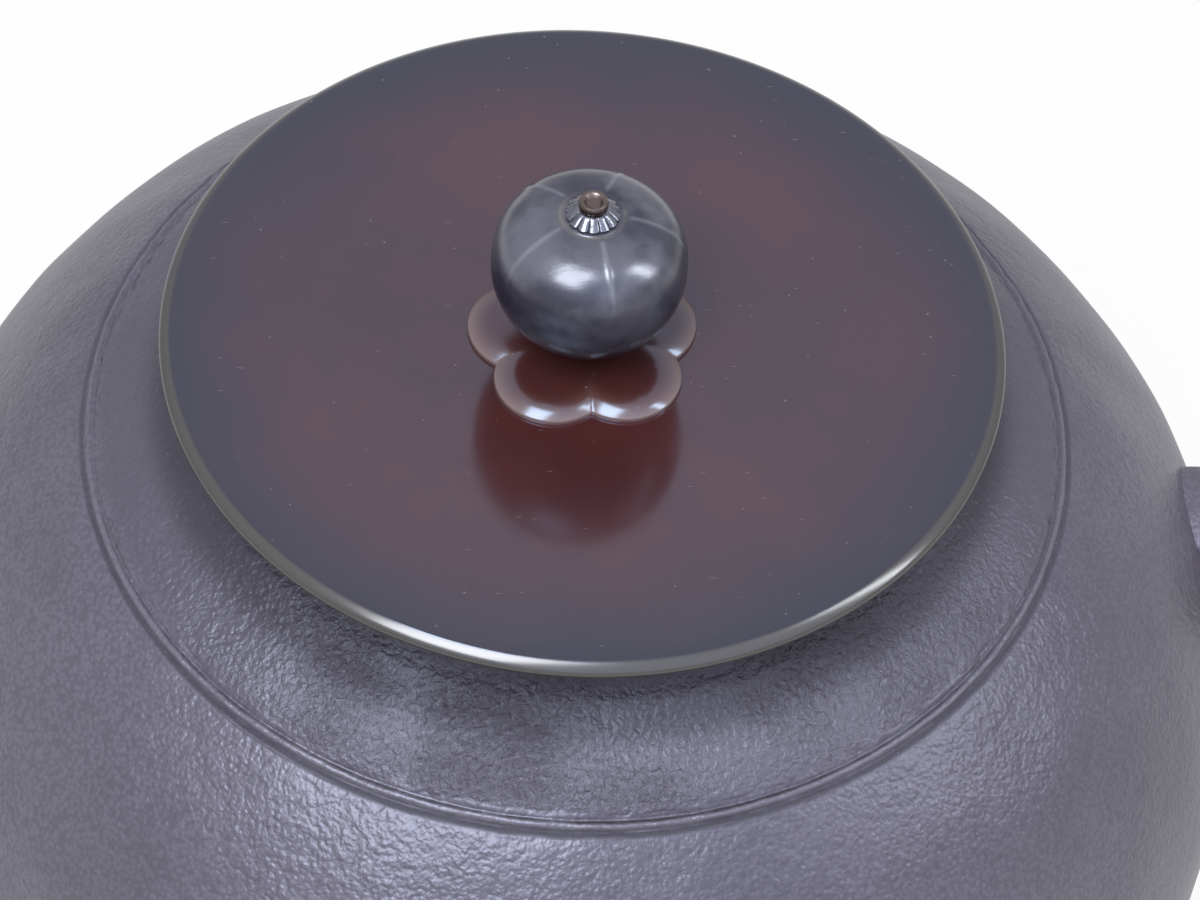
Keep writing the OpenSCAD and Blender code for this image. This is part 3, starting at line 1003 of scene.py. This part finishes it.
knobForm = {
    "radius": 14.8, "up": 11.1, "down": 13.9, "full": 2.7, "middle": 166.369,
    "foot": 153.04, "top": 177.302, "topRadius": 4.5, "wall": 1.8, "bore": 1.75,
    "ribs": 5, "ribTurn": -78.5, "ribHeight": 0.105, "ribWidth": 0.46, "ribWear": 0.26, "wearEase": 1.7,
    "ribRise": (1.5, 8), "ribStart": (4.9, 5.8), "lift": (0.5, 0.85),
    "seamRadius": 4.85, "seamDepth": 0.12, "seamWidth": 0.3,
    "steps": 320, "outerSteps": 90, "innerSteps": 40,
}


def knobRun(inset, low, high, count):
    # points on the knob's outline from height low to height high
    n = read(knobForm)
    points = []
    for i in range(count + 1):
        z = low + (high - low) * (0.5 - 0.5 * math.cos(math.pi * i / count)) - n.middle
        if z < 0:
            r = ovalHeight(n.down - inset, n.radius - inset, 2, -z)
        else:
            r = ovalHeight(n.up - inset, n.radius - inset, n.full, z)
        points.append((r, z + n.middle))
    return points


def onKnobSkin(p, r):
    # outside on the upper half, round the crown's seam
    n = read(knobForm)
    rise = max(0, min(n.up, p.z - n.middle))
    inner = ovalHeight(n.up, n.radius, n.full, rise) - n.wall / 2
    return r >= n.topRadius and p.z >= n.middle - 2 and (r >= inner or p.z >= n.top - 1)


def ribLift(p, r):
    # 1 on a rib's ridge, falling to 0 beside it and at its ends
    n = read(knobForm)
    if not onKnobSkin(p, r):
        return 0
    turns = (math.radians(n.ribTurn + 360 / n.ribs * i) for i in range(n.ribs))
    away = min(abs((math.atan2(p.y, p.x) - turn + math.pi) % math.tau - math.pi) for turn in turns)
    low, high = (n.middle + up for up in n.ribRise)
    fade = smoothStep(low, high, p.z) * smoothStep(*n.ribStart, r)
    return math.exp(-((away * r) / n.ribWidth) ** 2) * fade


def makeKnob():
    n = read(knobForm)
    foot, top, wall, bore = n.foot, n.top, n.wall, n.bore
    points = knobRun(0, foot, top, n.outerSteps)
    points += line((n.topRadius - 0.3, top), (bore, top), 3) + [(bore, top - wall)]
    points += list(reversed(knobRun(wall, foot + wall, top - wall, n.innerSteps)))
    points += [(bore, foot + wall), (bore, foot), points[0]]
    piece = turnSection("fruitKnob", points, n.steps)
    markWear(piece, "ribWear", lambda p, r: n.ribWear * ribLift(p, r) ** n.wearEase)

    def ribbed(p):
        r = math.hypot(p.x, p.y)
        if not onKnobSkin(p, r):
            return p
        dip = 0
        if p.z > top - 0.8:
            dip = n.seamDepth * math.exp(-((r - n.seamRadius) / n.seamWidth) ** 2)
        outward, upward = n.lift
        out = Vector((p.x / r * outward, p.y / r * outward, upward))
        return p + out * (ribLift(p, r) * n.ribHeight - dip)

    reshape(piece, ribbed)
    finishPiece(piece, "lid_knob", "knob", "knob_metal", knobMetal, 50)
    return piece


fruitKnob = makeKnob()
print("knob made", len(fruitKnob.data.polygons))


# fluted crown

crownForm = {
    "low": 177.302, "height": 1.6, "radius": 4.1, "topRadius": 2.7, "bore": 1.75,
    "edge": 0.3, "bulge": 0.09,
    "flutes": 14, "depth": 0.42, "sharp": 0.38, "fluteZone": (2.2, 3.4), "steps": 336, "sideSteps": 12,
}


def makeCrown():
    c = read(crownForm)
    low, radius, edge = c.low, c.radius, c.edge
    top = low + c.height
    section = [(c.bore, low), (radius - edge, low), (radius - 0.05, low + 0.12)]
    section.append((radius, low + edge))
    for i in range(1, c.sideSteps + 1):
        t = i / c.sideSteps
        r = radius + (c.topRadius - radius) * t ** 0.9 + c.bulge * math.sin(math.pi * t) ** 0.8
        section.append((r, low + edge + (c.height - edge * 1.5) * t))
    section += [(c.topRadius - 0.2, top), (c.bore, top), section[0]]
    piece = turnSection("flutedCrown", section, c.steps)

    def lobe(p, r):
        if r < c.bore + 0.2:
            return 0
        return abs(math.sin(math.atan2(p.y, p.x) * c.flutes / 2)) ** c.sharp

    def fluted(p):
        r = math.hypot(p.x, p.y)
        near = 1 - c.depth * (1 - lobe(p, r)) * smoothStep(*c.fluteZone, r) / r
        return (p.x * near, p.y * near, p.z)

    markWear(piece, "ridge", lobe)
    reshape(piece, fluted)
    finishPiece(piece, "lid_knob", "knob_crown", "crown_metal", crownMetal, 60)
    return piece


flutedCrown = makeCrown()
print("crown made", len(flutedCrown.data.polygons))


# rivet and washer

rivetForm = {
    "tail": 143.34, "tailRadius": 3.2, "tailHeight": 1.2, "shank": 1.7,
    "collarLow": 150.74, "collarHeight": 2.2, "collarRadius": 3.4,
    "headLow": 179.002, "headHeight": 1.3, "headRadius": 2.25, "hollow": 1.3, "hollowDepth": 0.7,
    "steps": 72, "wear": 0.9, "dent": 0.05, "dentScale": 0.9,
}
washerForm = {
    "top": 145.54, "thick": 1, "radius": 6.5, "bore": 1.75, "steps": 96,
    "wear": 0.5, "dent": 0.12, "dentScale": 0.7,
}


def makeRivet():
    v = read(rivetForm)
    tail, tailTop = v.tail, v.tail + v.tailHeight
    shank, collar, head, hollow = v.shank, v.collarRadius, v.headRadius, v.hollow
    low, collarTop = v.collarLow, v.collarLow + v.collarHeight
    headLow, headTop = v.headLow, v.headLow + v.headHeight
    floor = headTop - v.hollowDepth
    section = [(0, tail)]
    for i in range(1, 11):
        t = math.radians(9 * i)
        z = tail + (v.tailHeight - 0.25) * (1 - math.cos(t))
        section.append((v.tailRadius * math.sin(t) ** 0.9, z))
    section += [(v.tailRadius - 0.1, tailTop), (shank, tailTop)]
    section += [(shank, low), (collar - 0.25, low), (collar, low + 0.3)]
    section += [(collar, collarTop - 0.3), (collar - 0.25, collarTop), (shank, collarTop)]
    section += [(shank, headLow), (head - 0.2, headLow), (head - 0.05, headLow + 0.2)]
    section += [(head, headTop - 0.5), (head - 0.08, headTop - 0.2), (head - 0.3, headTop)]
    section += [(hollow + 0.25, headTop - 0.05), (hollow, headTop - 0.3)]
    section += [(hollow - 0.25, floor + 0.1), (0, floor)]
    piece = turnSection("peenedRivet", section, v.steps)

    def worn(p, r):
        # the head's upper edge, and all of its hollow
        lifted = p.z + 0.8 * (r < hollow + 0.1)
        return v.wear * smoothStep(headTop - 0.3, headTop - 0.1, lifted)

    def peened(p):
        if tailTop - 0.2 <= p.z <= headLow + 0.3:
            return p
        bend = 1 - v.dent * abs(noise.noise(p * v.dentScale))
        return (p.x * bend, p.y * bend, p.z)

    markWear(piece, "edgeWear", worn)
    reshape(piece, peened)
    finishPiece(piece, "lid", "knob_rivet", "rivet_copper", rivetCopper, 40)
    return piece


def makeWasher():
    w = read(washerForm)
    bore, radius, top, low = w.bore, w.radius, w.top, w.top - w.thick
    section = [(bore, top), (bore, low)]
    section += line((bore + 0.6, low), (radius - 0.35, low), 8)
    section += [(radius - 0.08, low + 0.12), (radius, low + 0.4), (radius, top - 0.2)]
    section += [(radius - 0.15, top), section[0]]
    piece = turnSection("peenedWasher", section, w.steps)

    def peened(p):
        if p.z >= low + 0.2 or math.hypot(p.x, p.y) <= bore + 0.3:
            return p
        return (p.x, p.y, p.z + w.dent * abs(noise.noise(p * w.dentScale)))

    markWear(piece, "edgeWear", lambda p, r: w.wear * smoothStep(radius - 0.5, radius, r))
    reshape(piece, peened)
    finishPiece(piece, "lid", "under_washer", "rivet_copper", rivetCopper, 40)
    return piece


peenedRivet = makeRivet()
peenedWasher = makeWasher()
print("rivet and washer made")


# singing plates and their lacquer

plateForm = {
    "count": 5, "length": 20, "width": 13, "thick": 2, "middle": 28.4, "round": 0.45, "uneven": 0.06,
    "floor": 4.2, "bedThick": 1.2, "bedLength": 16, "bedWidth": 9, "bedRound": 0.5, "bedUneven": 0.08,
    "cuts": 5, "noiseScale": 0.4, "noiseShift": 7.1, "bedSeed": 9, "dent": 0.12, "dentScale": 1.7,
}


def makeSlab(name, size, low, rounding, rough, seed):
    f = read(plateForm)
    middle = low + size[2] / 2
    clearSelection()
    bpy.ops.mesh.primitive_cube_add(size=1)
    piece = nameNew(name)
    startEdit()
    bpy.ops.transform.resize(value=[x * mm for x in size])
    bpy.ops.transform.translate(value=(0, 0, middle * mm))
    bpy.ops.mesh.bevel(offset=rounding * mm, segments=3, affect="EDGES")
    bpy.ops.mesh.select_all(action="SELECT")
    bpy.ops.mesh.subdivide(number_cuts=f.cuts)
    endEdit()

    def uneven(p):
        here = p * f.noiseScale + Vector((seed * f.noiseShift, 0, 0))
        inward = 1 - rough * (0.5 + 0.5 * noise.noise(here))
        dent = f.dent * abs(noise.noise(here * f.dentScale)) if p.z > middle else 0
        return (p.x * inward, p.y * inward, p.z - dent)

    reshape(piece, uneven)
    return piece


def makePlates():
    f = read(plateForm)
    low = f.floor + f.bedThick
    plateSize = (f.length, f.width, f.thick)
    bedSize = (f.bedLength, f.bedWidth, f.bedThick)
    for i in range(f.count):
        turn = math.radians(360 * (i + 0.5) / f.count)
        shift = Matrix.Rotation(turn, 4, "Z") @ Matrix.Translation((f.middle * mm, 0, 0))
        plate = makeSlab(f"singingPlate{i + 1}", plateSize, low, f.round, f.uneven, i)
        seed = i + f.bedSeed
        bed = makeSlab(f"lacquerBed{i + 1}", bedSize, f.floor, f.bedRound, f.bedUneven, seed)
        for piece, node, slot, finish in (
            (plate, "singing_plate", "plate_iron", plateIron),
            (bed, "lacquer_bed", "black_lacquer", blackLacquer),
        ):
            piece.data.transform(shift)
            finishPiece(piece, "kettle", f"{node}_{i + 1}", slot, finish, 60)


makePlates()
print("singing plates made")


# floor, light and camera

floorLook = {"size": 6, "colour": (0.93, 0.93, 0.935, 1), "rough": 0.8, "shine": 0.1, "ownLight": 0.92}
stageLook = {
    "skyColour": (0.88, 0.91, 1, 1), "horizonColour": (0.6, 0.62, 0.68, 1), "skyRange": (0, 0.6),
    "fillColour": (0.93, 0.96, 1, 1), "fillStrength": 0.4,
    "glowColour": (0.34, 0.4, 0.66, 1), "glowAngles": (-80, 46), "glowSpread": 52,
    "lampColour": (0.86, 0.93, 1), "aim": (0, 0, 0.165),
    "lamps": (  # name, turn and rise, distance, size, power
        ("keyLamp", (-126, 60), 0.85, (0.38, 0.52), 7),
        ("sideLamp", (-13.8, 40), 0.8, (0.1, 0.46), 1.7),
    ),
}


def seenRay(tree):
    # 1 for rays that show the background: camera, mirror and glass rays
    path = addNode(tree, "ShaderNodeLightPath")
    seen = mathNode("ADD", path.outputs["Is Camera Ray"], path.outputs["Is Glossy Ray"], True)
    return mathNode("ADD", seen, path.outputs["Is Transmission Ray"], True)


def makeFloor():
    clearSelection()
    bpy.ops.mesh.primitive_plane_add(size=floorLook["size"])
    floor = nameNew("paleFloor")
    material, shader, _ = newMaterial("paleFloor", floorLook)
    plug(shader.inputs["Base Color"], floorLook["colour"])
    plug(shader.inputs["Specular IOR Level"], floorLook["shine"])
    glow = addNode(material.node_tree, "ShaderNodeEmission", {"Color": (1, 1, 1, 1), "Strength": 1})
    share = times(seenRay(material.node_tree), floorLook["ownLight"])
    mixSurface(share, shader.outputs[0], glow.outputs[0], "Material Output")
    floor.data.materials.append(material)


def makeWorld():
    look = read(stageLook)
    world = bpy.data.worlds.new("softRoom")
    bpy.context.scene.world = world
    world.use_nodes = True
    tree = world.node_tree
    fill = tree.nodes["Background"]
    fill.inputs["Color"].default_value = look.fillColour
    fill.inputs["Strength"].default_value = look.fillStrength
    # the room's walls are a little darker than its ceiling
    ray = addNode(tree, "ShaderNodeTexCoord").outputs["Generated"]
    parts = addNode(tree, "ShaderNodeSeparateXYZ")
    plug(parts.inputs[0], ray)
    height = mapRange(parts.outputs[2], *look.skyRange)
    sky = mixColour(height, look.horizonColour, look.skyColour)
    # a soft glow stands over the front of the room
    middle = direction(look.glowAngles)
    facing = addNode(tree, "ShaderNodeVectorMath", {1: middle}, operation="DOT_PRODUCT")
    plug(facing.inputs[0], ray)
    share = mapRange(facing.outputs["Value"], math.cos(math.radians(look.glowSpread)), 1)
    seen = addNode(tree, "ShaderNodeBackground", {"Strength": 1})
    plug(seen.inputs["Color"], mixColour(share, sky, look.glowColour, "ADD"))
    mixSurface(seenRay(tree), fill.outputs[0], seen.outputs[0], "World Output")


def makeLamp(name, angles, distance, size, power):
    away = direction(angles)
    bpy.ops.object.light_add(type="AREA", location=Vector(stageLook["aim"]) + away * distance)
    lamp = bpy.context.object
    lamp.name = name
    lamp.rotation_mode = "QUATERNION"
    lamp.rotation_quaternion = away.to_track_quat("Z", "Y")
    lamp.data.shape = "RECTANGLE"
    lamp.data.size, lamp.data.size_y = size
    lamp.data.energy = power
    lamp.data.color = stageLook["lampColour"]
    lamp.visible_camera = False


photoView = {
    "lens": 90, "sensor": 36, "picture": (1200, 900),
    "elevation": 49.117, "roll": 4.166, "turn": -5.5,
    "distance": 461.96, "aimHeight": 151.94, "aimPixel": (584.68, 326.72),
}


def makeCamera():
    # looks at a point on the lid's axis, which lies at a given pixel of the picture
    v = read(photoView)
    up, roll = math.radians(v.elevation), math.radians(v.roll)
    back = Vector((0, -math.cos(up), math.sin(up)))
    right = Vector((1, 0, 0))
    down = (-back).cross(right)
    focal = v.lens / v.sensor * v.picture[0]
    offX, offY = ((spot - size / 2) / focal for spot, size in zip(v.aimPixel, v.picture))
    swing = Vector((0, 0, 1)).rotation_difference(Vector((offX, offY, 1)).normalized()).to_matrix()
    view = swing @ Matrix.Rotation(roll, 3, "Z") @ Matrix((right, down, -back))
    turned = view.transposed() @ Matrix.Diagonal((1, -1, -1))
    place = Matrix.Translation((0, 0, v.aimHeight * mm))
    place @= Matrix.Rotation(math.radians(v.turn), 4, "Z")
    bpy.ops.object.camera_add()
    camera = bpy.context.object
    camera.name = "photoCamera"
    camera.data.lens, camera.data.sensor_width = v.lens, v.sensor
    camera.matrix_world = place @ Matrix.Translation(back * v.distance * mm) @ turned.to_4x4()
    bpy.context.scene.camera = camera


clearSelection()
makeFloor()
makeWorld()
for lamp in stageLook["lamps"]:
    makeLamp(*lamp)
makeCamera()
bpy.context.scene.view_settings.view_transform = "Standard"
print("stage made")

bpy.context.view_layer.update()
